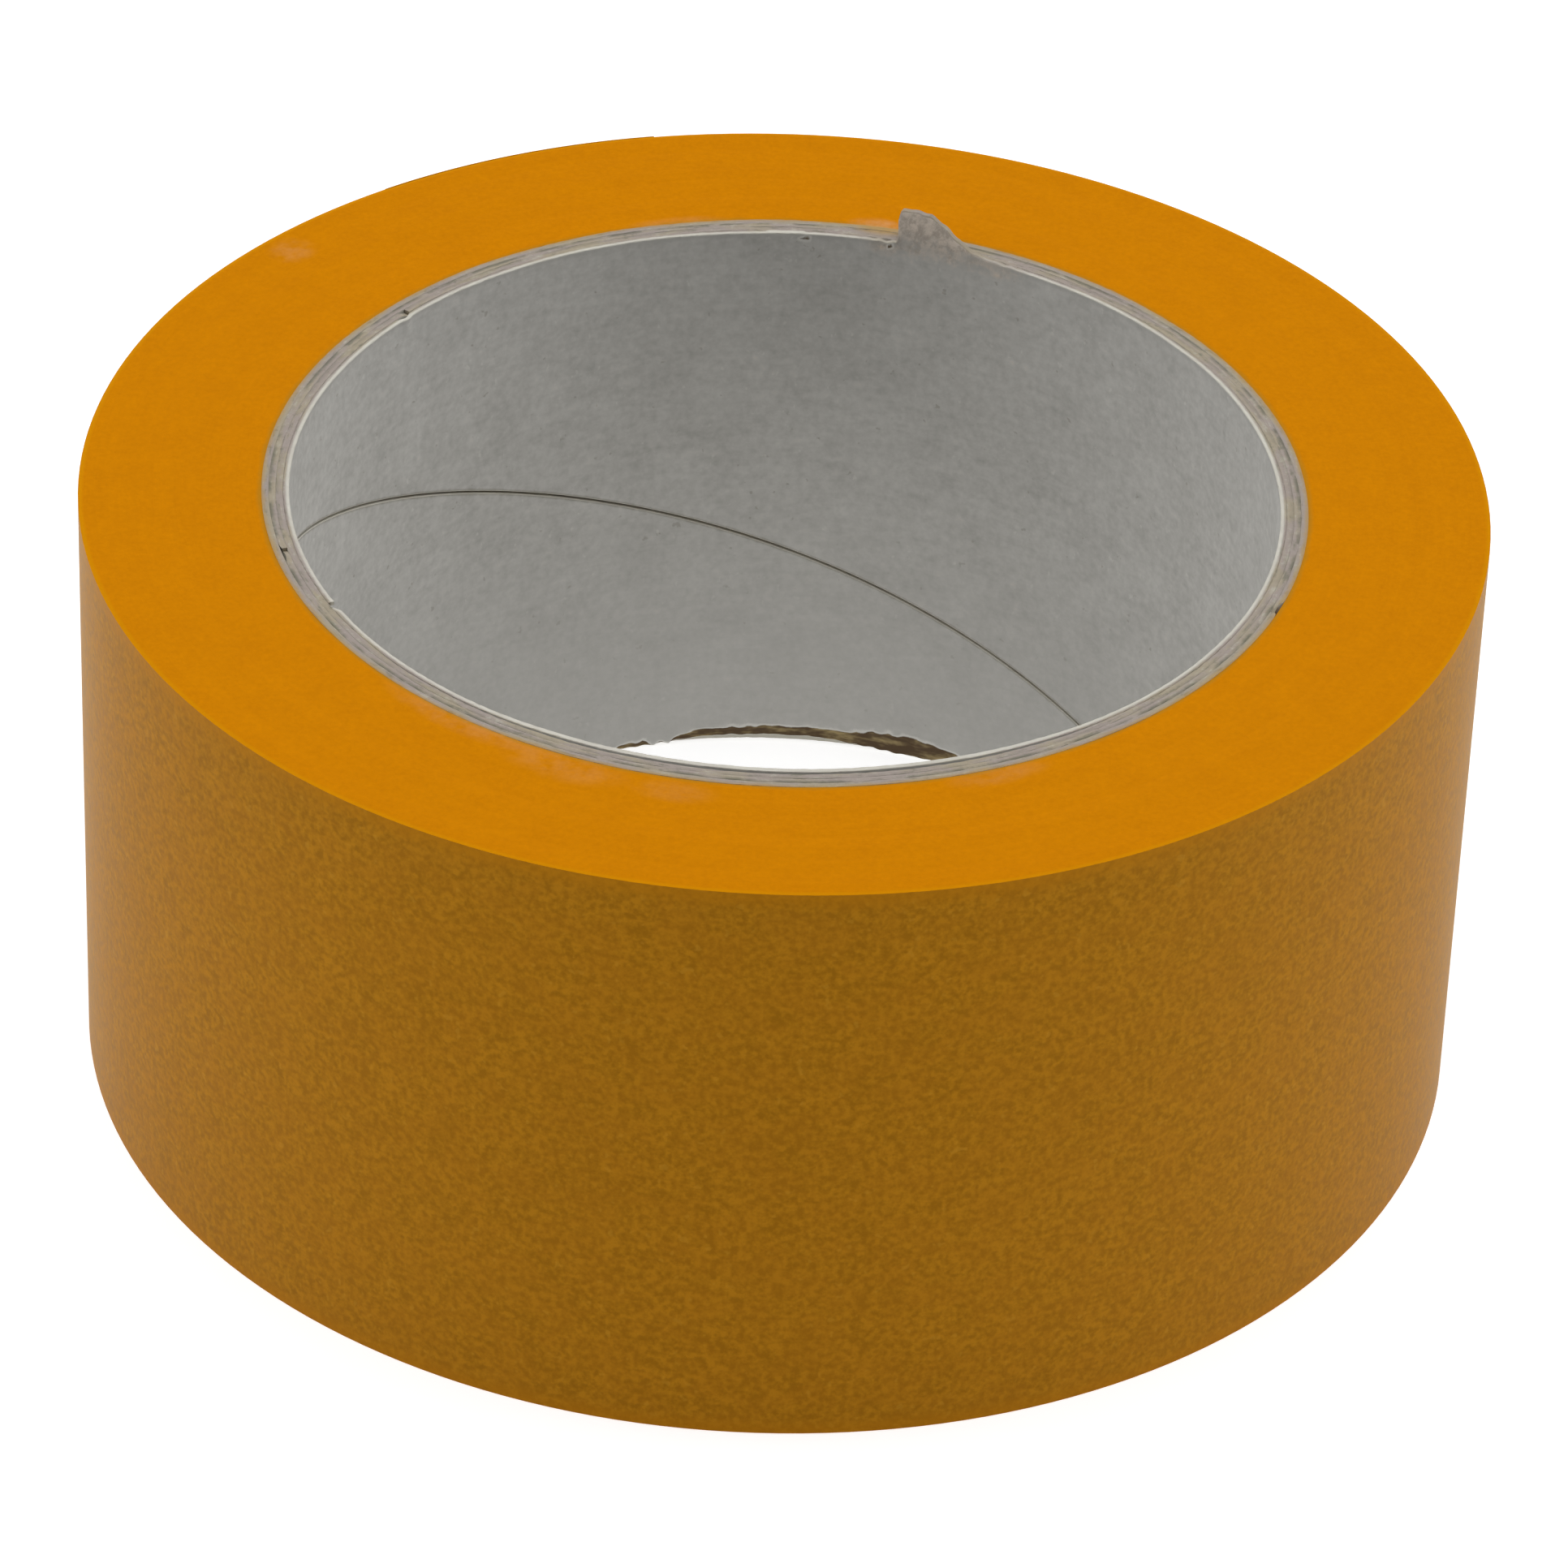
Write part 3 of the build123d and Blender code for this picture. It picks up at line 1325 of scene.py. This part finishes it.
@dataclass
class CoreLiner(SpiralPly):
    """The ply that lines the bore, with its torn tongue and its worn lower edge."""

    slot: Slot = Slot.LINER
    columns: int = 1800
    section: CutSection = CutSection(30, 4, 0.07 * MM)
    relief: float = 0.06 * MM
    tongue_angle: float = math.radians(73.0)
    tongue_outline: tuple[tuple[float, float], ...] = (
        (-5.6, 0.0),
        (-3.4, 0.3),
        (-2.4, 0.6),
        (-1.57, 1.17),
        (-1.05, 1.63),
        (-0.53, 1.98),
        (0.06, 2.16),
        (0.9, 2.30),
        (1.55, 2.32),
        (2.35, 2.19),
        (2.70, 1.95),
        (2.85, 0.95),
        (3.0, 0.0),
    )
    tongue_lean: float = 0.6
    tongue_skew: float = 0.3
    worn_foot: tuple[tuple[float, float], ...] = (
        (60.0, 0.0),
        (63.0, 0.9),
        (67.0, 1.3),
        (70.0, 1.75),
        (73.0, 2.0),
        (77.0, 1.9),
        (81.0, 1.6),
        (90.0, 1.45),
        (96.0, 1.4),
        (100.0, 1.2),
        (102.2, 0.6),
        (103.6, 0.15),
        (105.6, 0.15),
        (107.0, 0.6),
        (109.6, 0.55),
        (111.0, 0.0),
    )
    chip_angle: float = math.radians(91.0)
    chip_depth: float = 0.5 * MM
    chip_least: float = 0.06 * MM
    bare_recess: float = 0.12 * MM
    proud_angle: float = math.radians(-92.0)
    proud_rise: float = 0.05 * MM
    proud_press: float = 0.20 * MM
    blister_angle: float = math.radians(143.0)
    blister_lift: float = 0.15 * MM
    blister_spread: float = 0.17 * MM
    fold_angle: float = math.radians(91.2)
    fold_rise: float = 0.15 * MM
    fold_press: float = 0.22 * MM
    bruise_angle: float = math.radians(88.9)
    nick_angle: float = math.radians(78.4)
    bruise_wear: float = 0.55

    def roughen(self, piece: bpy.types.Object, points: np.ndarray) -> None:
        """Adds the worn foot, the blister, the folded edge and the tongue.

        Args:
            piece: The liner.
            points: Its vertices, moved in place.
        """
        super().roughen(piece, points)
        angle = np.arctan2(points[:, 1], points[:, 0])
        wear = self._wear_foot(points, angle)
        self._press_front(points, angle)
        self._raise_blister(points, angle)
        wear = np.maximum(wear, self._fold_edge(points, angle))
        fuzz = self._raise_tongue(points, angle)
        Bench.keep(piece, WEAR, wear)
        Bench.keep(piece, FUZZ, fuzz)

    def _raise_tongue(self, points: np.ndarray, angle: np.ndarray) -> np.ndarray:
        """Pulls the top edge up into a ragged tongue that leans outwards.

        Args:
            points: The liner's vertices.
            angle: Their angles.

        Returns:
            How fuzzy the board is at each vertex, from 0 to 1.
        """
        width = self.sizes.width
        along = angle_from(angle, self.tongue_angle) * self.inner_radius / MM
        spots = [spot for spot, _ in self.tongue_outline]
        heights = [height for _, height in self.tongue_outline]
        height = np.interp(along, spots, heights, left=0.0, right=0.0) * MM
        ragged = Unevenness(self.seed + 7, 0.075 * MM, 40, 230).at(angle)
        torn = eased(along, -8.0, -6.0) * eased(along, 5.5, 4.0)
        height += ragged * torn
        points[:, 2] += eased(points[:, 2], width - 1.4 * MM, width) * height
        proud = np.maximum(points[:, 2] - width, 0.0) * (height > 0.0)
        outward = np.stack([np.cos(angle), np.sin(angle)], axis=1)
        aside = np.stack([-np.sin(angle), np.cos(angle)], axis=1)
        points[:, :2] += proud[:, None] * (outward * self.tongue_lean + aside * self.tongue_skew)
        nearby = eased(along, -9.5, -6.0) * eased(along, 6.8, 4.5)
        level = eased(points[:, 2], width - 2.2 * MM, width - 0.1 * MM) * 0.5
        level += eased(points[:, 2], width - 0.2 * MM, width + 0.5 * MM) * 0.5
        return nearby * level

    def _wear_foot(self, points: np.ndarray, angle: np.ndarray) -> np.ndarray:
        """Wears the grey face off the lower edge at the back, and chips the edge.

        Args:
            points: The liner's vertices.
            angle: Their angles.

        Returns:
            How worn each vertex is: over a half the grey face is gone.
        """
        spots = [math.radians(spot) for spot, _ in self.worn_foot]
        tops = [top for _, top in self.worn_foot]
        top = np.interp(angle, spots, tops, left=0.0, right=0.0) * MM
        ragged = Unevenness(self.seed + 11, 0.045 * MM, 12, 230).at(angle)
        top = np.where(top > 0.0, np.maximum(top + 1.6 * ragged, 0.0), 0.0)
        wear = np.where(top > 0.0, eased(points[:, 2] - top, 0.5 * MM, -0.5 * MM), 0.0)
        middle = np.abs(angle_from(angle, self.chip_angle))
        chip = eased(middle, math.radians(17.0), math.radians(5.0)) * self.chip_depth
        chipped = np.minimum(top, chip + self.chip_least + ragged)
        points[:, 2] += eased(points[:, 2], 1.6 * MM, 0.0) * np.maximum(chipped, 0.0)
        depth = np.hypot(points[:, 0], points[:, 1]) - self.inner_radius
        recess = self.bare_recess * eased(wear, 0.4, 0.6) * eased(depth, 0.3 * MM, 0.1 * MM)
        push_out(points, recess, self.inner_radius)
        return wear

    def _press_front(self, points: np.ndarray, angle: np.ndarray) -> None:
        """Leaves the top edge a little proud and pressed in along one side.

        Args:
            points: The liner's vertices, moved in place.
            angle: Their angles.
        """
        away = np.abs(angle_from(angle, self.proud_angle))
        near = eased(away, math.radians(50.0), math.radians(15.0))
        top = eased(points[:, 2], self.sizes.width - 6.0 * MM, self.sizes.width)
        points[:, 2] += near * top * self.proud_rise
        push_out(points, -near * top * self.proud_press, self.inner_radius)

    def _raise_blister(self, points: np.ndarray, angle: np.ndarray) -> None:
        """Lifts the liner off the next ply over a short length of the top edge.

        Args:
            points: The liner's vertices, moved in place.
            angle: Their angles.
        """
        near = 1.0 - eased(np.abs(angle_from(angle, self.blister_angle)), 0.002, 0.024)
        top = eased(points[:, 2], self.sizes.width - 2.0 * MM, self.sizes.width)
        depth = (np.hypot(points[:, 0], points[:, 1]) - self.inner_radius) / self.thickness
        shift = self.blister_lift + self.blister_spread * np.clip(depth, 0.0, 1.0)
        push_out(points, -near * top * shift, self.inner_radius)

    def _fold_edge(self, points: np.ndarray, angle: np.ndarray) -> np.ndarray:
        """Turns a short bit of the top edge up, with a bruise and a nick near it.

        Args:
            points: The liner's vertices.
            angle: Their angles.

        Returns:
            Wear of the bruises, from 0 to 1.
        """
        width = self.sizes.width
        away = np.abs(angle_from(angle, self.fold_angle))
        fold = 1.0 - eased(away, math.radians(2.0), math.radians(2.5))
        top = eased(points[:, 2], width - 0.5 * MM, width)
        points[:, 2] += fold * top * self.fold_rise
        push_out(points, -fold * top * self.fold_press, self.inner_radius)
        below = 1.0 - eased(np.abs(points[:, 2] - (width - 0.4 * MM)), 0.2 * MM, 0.5 * MM)
        bruise = 1.0 - eased(np.abs(angle_from(angle, self.bruise_angle)), 0.010, 0.020)
        nick = 1.0 - eased(np.abs(angle_from(angle, self.nick_angle)), 0.004, 0.012)
        return np.maximum(bruise, nick) * below * self.bruise_wear

    def materials(self, wardrobe: Wardrobe) -> list[bpy.types.Material]:
        """Smooth grey wall and pale cut edge.

        Args:
            wardrobe: The roll's materials.

        Returns:
            Both materials, the wall's first.
        """
        wall = BoardWallFinish(
            "liner_wall",
            (0.58, 0.57, 0.54),
            (0.40, 0.39, 0.365),
            (0.22, 0.19, 0.15),
            self.inner_radius,
            self.sizes.width,
            joint=self.seam,
        )
        return [wardrobe.get("liner_wall", wall), self.cut_material(wardrobe)]


def core_plies(sizes: RollSizes) -> tuple[SpiralPly, ...]:
    """The four plies of the core, from the bore outwards.

    Args:
        sizes: The roll's sizes.

    Returns:
        The plies, not built yet.
    """
    degrees = math.radians
    liner = Rim(0.02 * MM, 0.022 * MM, pale_edge=0.95, glue=0.1)
    inner = Rim(0.0, 0.018 * MM, glue=0.3)
    outer = Rim(0.0, 0.018 * MM, glue=0.85)
    wrap = Rim(0.0, 0.018 * MM, glue=0.0, stain=0.7)
    return (
        CoreLiner(
            "core_liner", "core_inner_liner", 0, Seam(degrees(-150.5), 0.20 * MM), liner, sizes, 5
        ),
        SpiralPly(
            "core_ply_inner", "core_inner_ply", 1, Seam(degrees(143), 0.02 * MM), inner, sizes, 23
        ),
        SpiralPly(
            "core_ply_outer",
            "core_outer_ply",
            2,
            Seam(degrees(-163), 0.012 * MM, 0.22 * MM, 1.6 * MM),
            outer,
            sizes,
            41,
        ),
        SpiralPly(
            "core_wrap",
            "core_outer_wrap",
            3,
            Seam(degrees(-20), 0.012 * MM, 0.30 * MM, 1.2 * MM),
            wrap,
            sizes,
            67,
        ),
    )


# ---------------------------------------------------------------------------
# Tape
# ---------------------------------------------------------------------------


@dataclass
class TapeCoil:
    """The wound tape: one spiral of laps with a real step at the peel line."""

    sizes: RollSizes
    name: str = "wound_tape"
    node: str = "tape_coil"
    columns: int = 192
    wall_rows: int = 10
    short_top: float = 0.02 * MM
    short_foot: float = 0.05 * MM
    eased_edge: float = 0.035 * MM

    @property
    def laps(self) -> int:
        """Number of laps between the core and the outside."""
        depth = self.sizes.roll_radius - self.sizes.core_radius
        return round(depth / self.sizes.tape_thickness)

    def build(self, wardrobe: Wardrobe) -> bpy.types.Object:
        """Spins the section round, winds it into a spiral and dresses it.

        Args:
            wardrobe: The roll's materials.

        Returns:
            The finished piece.
        """
        sizes = self.sizes
        low = Vector((sizes.core_radius, 0.0, 0.0))
        high = Vector((sizes.roll_radius, 0.0, sizes.width))
        piece = Bench.section(self.name, low, high)
        ring = self._spin(piece)
        self._wind(piece, ring)
        Bench.weld(piece, sizes.tape_thickness / 20)
        self._close_step(piece)
        Bench.smooth(piece, TAPE_CRISP)
        level = np.abs(Bench.faces(piece)[1][:, 2]) > FACING
        Bench.dress(piece, tape_materials(sizes, wardrobe)[:2], level.astype(int))
        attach(piece, Body.ROLL.value)
        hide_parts(self.node)
        return piece

    def _spin(self, piece: bpy.types.Object) -> int:
        """Divides the section's outline and spins it one turn.

        Args:
            piece: The section.

        Returns:
            How many vertices each step of the spin has.
        """
        middle = self.sizes.width / 2
        outside = self.sizes.roll_radius - self.sizes.tape_thickness / 2
        with Bench.editing(piece):
            Bench.select_edges(piece, lambda a, b: (a.z > middle) == (b.z > middle))
            bpy.ops.mesh.subdivide(number_cuts=self.laps - 1)
            Bench.select_edges(piece, lambda a, b: min(a.x, b.x) > outside)
            bpy.ops.mesh.subdivide(number_cuts=self.wall_rows - 1)
        ring = len(piece.data.vertices)
        Bench.spin(piece, self.columns)
        return ring

    def _wind(self, piece: bpy.types.Object, ring: int) -> None:
        """Draws each ring in by one tape thickness over the turn, and lets the web wander.

        Args:
            piece: The spun section.
            ring: Vertices in each step of the spin.
        """
        sizes = self.sizes
        points = Bench.points(piece)
        turned = np.arange(len(points)) // ring / self.columns
        radius = np.hypot(points[:, 0], points[:, 1])
        pitch = (sizes.roll_radius - sizes.core_radius) / self.laps
        number = np.round((radius - sizes.core_radius) / pitch)
        lap = np.maximum(number - turned, 0.0)
        radius = sizes.core_radius + lap * pitch
        angle = sizes.peel_angle + turned * FULL_TURN
        wander = cut_wander(lap)
        top = points[:, 2] > sizes.width - 1e-6
        foot = points[:, 2] < 1e-6
        height = points[:, 2].copy()
        height[top] += wander[top] - self.short_top
        height[foot] += wander[foot] + self.short_foot
        outside = eased(lap, self.laps - 3.0, self.laps - 0.5)
        height[top] -= self.eased_edge * outside[top]
        wound = np.stack([radius * np.cos(angle), radius * np.sin(angle), height], axis=1)
        Bench.set_points(piece, ovalled(wound))

    @staticmethod
    def _close_step(piece: bpy.types.Object) -> None:
        """Fills the narrow face where the last lap ends at the peel line.

        Args:
            piece: The wound coil, closed but for that face.
        """
        with Bench.editing(piece):
            bpy.ops.mesh.select_all(action="DESELECT")
            bpy.ops.mesh.select_mode(type="EDGE")
            bpy.ops.mesh.select_non_manifold()
            bpy.ops.mesh.edge_face_add()
            bpy.ops.mesh.select_all(action="SELECT")
            bpy.ops.mesh.normals_make_consistent(inside=False)


@dataclass
class FreeEnd:
    """The tape's free end: a strip that lies on the roll from the peel line on."""

    sizes: RollSizes
    name: str = "free_tape_end"
    node: str = "tape_end"
    columns: int = 72
    rows: int = 36
    release: float = 0.006 * MM
    clearance: float = 0.02 * MM
    curl_length: float = 6.0 * MM

    def build(self, wardrobe: Wardrobe) -> bpy.types.Object:
        """Lays the strip on the roll and gives it its thickness.

        Args:
            wardrobe: The roll's materials.

        Returns:
            The finished piece.
        """
        sizes = self.sizes
        piece = Bench.grid(self.name, self.columns, self.rows)
        self._lay(piece)
        Bench.apply(
            piece, "SOLIDIFY", thickness=sizes.tape_thickness - 2 * self.release, offset=-1.0
        )
        Bench.smooth(piece, TAPE_CRISP)
        sides = self._sides(piece)
        Bench.dress(piece, tape_materials(sizes, wardrobe), sides)
        piece.data.polygons.foreach_set("use_smooth", sides != 1)
        # The free length runs on from the peel line against the angle's sense.
        tangent = Vector((math.sin(sizes.peel_angle), -math.cos(sizes.peel_angle), 0.0))
        start = sizes.peel_point
        start + tangent * self.curl_length
        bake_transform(piece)
        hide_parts(self.node)
        return piece

    def _lay(self, piece: bpy.types.Object) -> None:
        """Wraps the flat sheet on the roll, with a slightly ragged torn tip.

        Args:
            piece: The flat sheet.
        """
        sizes = self.sizes
        coil = TapeCoil(sizes)
        level = float(cut_wander(np.array([float(coil.laps)]))[0])
        top = sizes.width - coil.short_top - coil.eased_edge - self.clearance + level
        foot = coil.short_foot + level
        flat = Bench.points(piece) + 0.5
        height = foot + flat[:, 1] * (top - foot)
        ragged = Unevenness(53, 0.16 * MM, 2, 60).at(flat[:, 1] * math.pi)
        length = flat[:, 0] * (sizes.free_length + ragged)
        angle = sizes.peel_angle - length / sizes.roll_radius
        radius = sizes.roll_radius + self.release
        laid = np.stack([radius * np.cos(angle), radius * np.sin(angle), height], axis=1)
        Bench.set_points(piece, ovalled(laid))

    @staticmethod
    def _sides(piece: bpy.types.Object) -> np.ndarray:
        """Numbers the faces by the material that they show.

        Args:
            piece: The strip.

        Returns:
            For each face, 0 for paper, 1 for a cut edge and 2 for adhesive.
        """
        centres, normals = Bench.faces(piece)
        outward = (centres[:, :2] * normals[:, :2]).sum(axis=1)
        outward /= np.hypot(centres[:, 0], centres[:, 1])
        sides = np.where(outward < -FACING, 2, 0)
        return np.where(np.abs(normals[:, 2]) > FACING, 1, sides)


def tape_materials(sizes: RollSizes, wardrobe: Wardrobe) -> list[bpy.types.Material]:
    """The tape's paper, cut-edge and adhesive materials.

    Args:
        sizes: The roll's sizes.
        wardrobe: The roll's materials.

    Returns:
        The three materials, in that order.
    """
    core = sizes.core_radius
    smudges = (
        Spot(math.radians(141), core + 11.5 * MM, 2.4 * MM, 2.2 * MM, 0.22),
        Spot(math.radians(-125), core + 0.6 * MM, 9.0 * MM, 1.5 * MM, 0.22),
        Spot(math.radians(-112), core + 1.4 * MM, 6.0 * MM, 2.4 * MM, 0.18),
        Spot(math.radians(-100), core + 1.8 * MM, 4.0 * MM, 1.8 * MM, 0.12),
        Spot(math.radians(-66), core + 0.8 * MM, 5.0 * MM, 1.6 * MM, 0.16),
        Spot(math.radians(80.5), core + 0.3 * MM, 2.9 * MM, 1.3 * MM, 0.70),
        Spot(math.radians(104), core + 0.2 * MM, 5.0 * MM, 1.0 * MM, 0.20),
    )
    return [
        wardrobe.get("tape_paper", TapePaperFinish(sizes.width, sizes.roll_radius)),
        wardrobe.get("tape_cut_edges", CutTapeFinish(core, sizes.roll_radius, smudges=smudges)),
        wardrobe.get("tape_adhesive", AdhesiveFinish(sizes.roll_radius)),
    ]


# ---------------------------------------------------------------------------
# Stage
# ---------------------------------------------------------------------------


@dataclass(frozen=True)
class SoftBox:
    """A large soft lamp."""

    name: str
    place: Vector
    size: float
    power: float

    def hang(self, target: Vector) -> None:
        """Adds the lamp, facing the target.

        Args:
            target: Where it points.
        """
        lamp = bpy.data.lights.new(self.name, "AREA")
        lamp.shape = "DISK"
        lamp.size = self.size
        lamp.energy = self.power
        holder = bpy.data.objects.new(self.name, lamp)
        bpy.context.scene.collection.objects.link(holder)
        holder.location = self.place
        holder.rotation_euler = (target - self.place).to_track_quat("-Z", "Y").to_euler()


@dataclass
class Studio:
    """Pale floor, soft light and the camera."""

    sizes: RollSizes
    elevation: float = math.radians(34.713)
    roll: float = math.radians(2.185)
    distance: float = 735.7 * MM
    shift_right: float = -0.671 * MM
    shift_up: float = 2.264 * MM
    lens: float = 213.36
    floor_size: float = 6.0
    floor_glow: float = 0.75

    def build(self) -> None:
        """Sets up the floor, the surroundings, the lamps and the camera."""
        self._floor()
        self._surroundings()
        target = Vector((0.0, 0.0, self.sizes.width / 2))
        for lamp in (
            SoftBox("overhead", Vector((0.0, 0.10, 1.1)), 0.9, 6.0),
            SoftBox("left_side", Vector((-1.0, 0.1, 0.45)), 0.7, 2.6),
            SoftBox("right_side", Vector((1.0, 0.1, 0.45)), 0.7, 2.6),
        ):
            lamp.hang(target)
        self._camera(target)
        bpy.context.scene.view_settings.view_transform = "Standard"

    def _floor(self) -> None:
        """Plain pale floor that glows a little, like a light table."""
        Bench.clear_selection()
        bpy.ops.mesh.primitive_plane_add(size=self.floor_size)
        floor = bpy.context.object
        floor.name = "floor"
        paint = Paint("floor_paper")
        grain = paint.noise(40 * MM, 3.0)
        material = paint.finish(
            Base_Color=paint.mix(grain, (0.50, 0.50, 0.50), (0.54, 0.54, 0.54)),
            Roughness=0.9,
            Emission_Color=(1.0, 1.0, 1.0),
            Emission_Strength=self.floor_glow,
        )
        floor.data.materials.append(material)

    @staticmethod
    def _surroundings() -> None:
        """Even pale surroundings, darker towards -Y."""
        world = bpy.data.worlds.new("studio")
        bpy.context.scene.world = world
        world.use_nodes = True
        tree = world.node_tree
        tree.nodes.clear()
        direction = tree.nodes.new("ShaderNodeTexCoord")
        split = tree.nodes.new("ShaderNodeSeparateXYZ")
        ramp = tree.nodes.new("ShaderNodeMapRange")
        ramp.interpolation_type = "SMOOTHSTEP"
        ramp.inputs["From Min"].default_value = -0.9
        ramp.inputs["From Max"].default_value = 0.3
        ramp.inputs["To Min"].default_value = 0.08
        ramp.inputs["To Max"].default_value = 0.55
        glow = tree.nodes.new("ShaderNodeBackground")
        output = tree.nodes.new("ShaderNodeOutputWorld")
        tree.links.new(direction.outputs["Generated"], split.inputs[0])
        tree.links.new(split.outputs["Y"], ramp.inputs["Value"])
        tree.links.new(ramp.outputs[0], glow.inputs["Strength"])
        tree.links.new(glow.outputs[0], output.inputs[0])
        glow.inputs["Color"].default_value = (1.0, 1.0, 1.0, 1.0)

    def _camera(self, target: Vector) -> None:
        """Camera above the near side of the roll, tilted a little.

        Args:
            target: The roll's middle.
        """
        back = Vector((0.0, -math.cos(self.elevation), math.sin(self.elevation)))
        level_right = Vector((1.0, 0.0, 0.0))
        level_up = back.cross(level_right)
        right = level_right * math.cos(self.roll) + level_up * math.sin(self.roll)
        up = level_up * math.cos(self.roll) - level_right * math.sin(self.roll)
        data = bpy.data.cameras.new("camera")
        data.lens = self.lens
        data.sensor_width = 36.0
        data.clip_start = 0.01
        data.clip_end = 20.0
        camera = bpy.data.objects.new("camera", data)
        bpy.context.scene.collection.objects.link(camera)
        place = target + back * self.distance - right * self.shift_right - up * self.shift_up
        turn = Matrix((right, up, back)).transposed().to_4x4()
        camera.matrix_world = Matrix.Translation(place) @ turn
        bpy.context.scene.camera = camera


def main() -> None:
    """Builds the roll and its studio, piece by piece."""
    logging.basicConfig(level=logging.INFO, format="%(message)s")
    sizes = RollSizes.from_frame()
    wardrobe = Wardrobe()
    Studio(sizes).build()
    assemblies = (*core_plies(sizes), TapeCoil(sizes), FreeEnd(sizes))
    for assembly in assemblies:
        piece = assembly.build(wardrobe)
        LOG.info("%s: %d faces", piece.name, len(piece.data.polygons))


if __name__ == "__main__":
    main()
